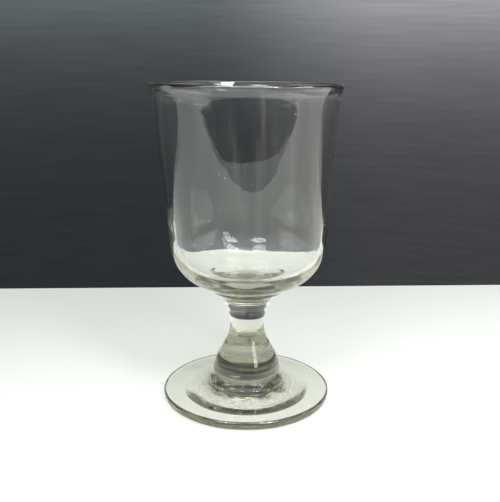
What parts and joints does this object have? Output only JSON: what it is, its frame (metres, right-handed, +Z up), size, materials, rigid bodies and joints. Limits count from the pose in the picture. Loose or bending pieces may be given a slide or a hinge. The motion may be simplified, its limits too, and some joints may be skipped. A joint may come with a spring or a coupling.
{
  "type": "rummer glass",
  "caption": "Short-stemmed drinking glass with a bucket bowl, a flared pad under it, a heavy knopped stem and a thick flat foot with a pontil scar.",
  "frame": {"origin": "centre of the foot's resting ring, on the surface that the glass stands on", "axes": "+Z up along the glass's axis of turning; X and Y are alike, because the glass is round"},
  "size_m": [0.081, 0.081, 0.14],
  "materials": {
    "clear_glass": "clear soda glass with a faint olive grey tint, fire-polished, with fine striae and seeds",
    "broken_glass": "rough, broken and slightly ground glass of the pontil scar"
  },
  "bodies": {
    "root": {"foot": "clear_glass", "pontil_scar": "broken_glass", "stem": "clear_glass", "merese": "clear_glass", "bowl": "clear_glass"}
  },
  "joints": []
}
